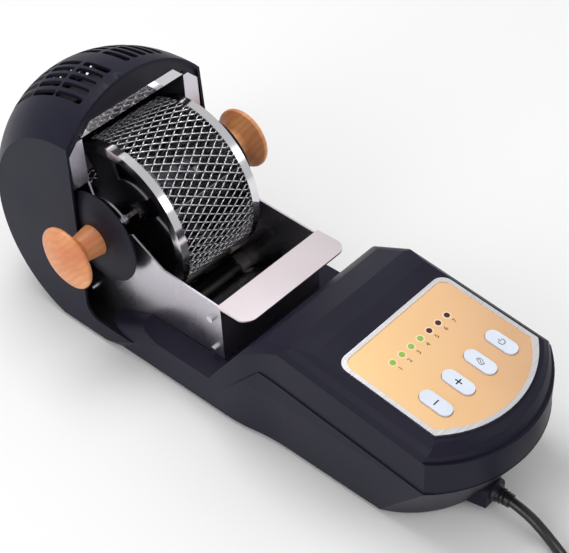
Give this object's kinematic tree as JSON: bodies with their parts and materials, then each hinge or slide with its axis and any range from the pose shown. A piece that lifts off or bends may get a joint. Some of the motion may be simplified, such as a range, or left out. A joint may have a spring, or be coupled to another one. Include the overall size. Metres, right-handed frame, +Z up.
{
  "type": "home coffee bean roaster",
  "caption": "Countertop coffee bean roaster: vented hood over a mesh roasting drum that lifts out by two wooden knobs, sloping control panel in front, mains lead.",
  "frame": {"origin": "on the table, under the middle of the roaster's own bounding box, its lead left out", "axes": "+Z up, +Y from the control panel towards the hood, +X to the right for someone facing the panel from the front"},
  "size_m": [0.177, 0.5536, 0.1785],
  "materials": {
    "casing": "satin",
    "casing_deck": "satin",
    "cover": "matte",
    "feet": "matte",
    "stainless": "satin",
    "mirror_steel": "polished",
    "lip_steel": "satin",
    "bulkhead": "satin",
    "screw": "polished",
    "heater": "dull",
    "ceramic": "matte",
    "probe": "polished",
    "mesh": "bright",
    "ring": "polished",
    "end_plate": "satin",
    "shaft": "polished",
    "bush": "satin",
    "hub": "satin",
    "beech": "oiled",
    "drum_gear": "satin",
    "gear": "satin",
    "motor": "satin",
    "fan": "satin",
    "bezel": "satin",
    "gilt": "satin",
    "lit": "glowing",
    "dark": "glossy",
    "button": "glossy",
    "board": "satin",
    "electronics": "matte",
    "post": "matte",
    "cord": "satin",
    "relief": "matte",
    "plug": "matte",
    "blade": "satin"
  },
  "bodies": {
    "housing": {"outer_shell": "casing", "deck_casing": "casing_deck", "bottom_cover": "cover", "rubber_feet": "feet", "hood_bulkhead": "bulkhead", "side_plate_left": "stainless", "side_plate_right": "stainless", "chamber_liner": "mirror_steel", "lip_plate": "lip_steel", "chamber_screws": "screw", "heater_tubes": "heater", "heater_holders": "ceramic", "temperature_probe": "probe", "idler_pin": "shaft", "gear_motor": "motor", "fan_plate": "stainless", "fan_frame": "fan", "panel_bezel": "bezel", "panel_plate": "gilt", "level_lights_lit": "lit", "level_lights_dark": "dark", "button_switches": "electronics", "control_board": "board", "board_posts": "post", "power_module": "electronics", "strain_relief": "relief", "power_cord": "cord", "cord_coil": "cord", "power_plug": "plug", "plug_blades": "blade"},
    "cradle": {"bush_left": "bush", "bush_right": "bush"},
    "drum": {"drum_mesh": "mesh", "drum_ring_left": "ring", "drum_ring_right": "ring", "drum_end_left": "end_plate", "drum_end_right": "end_plate", "drum_vanes": "end_plate", "axle_left": "shaft", "axle_right": "shaft", "hub_disc_left": "hub", "hub_disc_right": "hub", "knob_left": "beech", "knob_right": "beech", "drum_gear": "drum_gear"},
    "shutter": {"drum_shutter": "end_plate"},
    "idler": {"idler_gear": "gear"},
    "pinion": {"motor_pinion": "gear", "motor_shaft": "shaft"},
    "impeller": {"fan_impeller": "fan"},
    "key_minus": {"button_minus": "button"},
    "key_plus": {"button_plus": "button"},
    "key_roast": {"button_roast": "button"},
    "key_power": {"button_power": "button"}
  },
  "joints": [
    {"name": "drum_lift", "type": "slide", "parent": "housing", "child": "cradle", "axis": [0, -0.8192, 0.5736], "range_m": [0, 0.12]},
    {"name": "drum_spin", "type": "hinge", "parent": "cradle", "child": "drum", "pos_m": [0, 0.085, 0.085], "axis": [1, 0, 0], "continuous": true},
    {"name": "shutter_turn", "type": "hinge", "parent": "drum", "child": "shutter", "pos_m": [-0.0335, 0.085, 0.085], "axis": [1, 0, 0], "range_deg": [0, 95]},
    {"name": "idler_spin", "type": "hinge", "parent": "housing", "child": "idler", "pos_m": [0.0505, 0.12739, 0.05532], "axis": [1, 0, 0], "continuous": true},
    {"name": "pinion_spin", "type": "hinge", "parent": "housing", "child": "pinion", "pos_m": [0.0505, 0.15504, 0.03596], "axis": [1, 0, 0], "continuous": true},
    {"name": "fan_spin", "type": "hinge", "parent": "housing", "child": "impeller", "pos_m": [0, 0.166, 0.098], "axis": [0, 1, 0], "continuous": true},
    {"name": "press_minus", "type": "slide", "parent": "housing", "child": "key_minus", "axis": [0, 0.1392, -0.9903], "range_m": [0, 0.0008], "stiffness_N_per_m": 900},
    {"name": "press_plus", "type": "slide", "parent": "housing", "child": "key_plus", "axis": [0, 0.1392, -0.9903], "range_m": [0, 0.0008], "stiffness_N_per_m": 900},
    {"name": "press_roast", "type": "slide", "parent": "housing", "child": "key_roast", "axis": [0, 0.1392, -0.9903], "range_m": [0, 0.0008], "stiffness_N_per_m": 900},
    {"name": "press_power", "type": "slide", "parent": "housing", "child": "key_power", "axis": [0, 0.1392, -0.9903], "range_m": [0, 0.0008], "stiffness_N_per_m": 900}
  ],
  "couplings": [
    {"joint": "idler_spin", "follows": "drum_spin", "ratio": -1.0909},
    {"joint": "pinion_spin", "follows": "drum_spin", "ratio": 3}
  ]
}
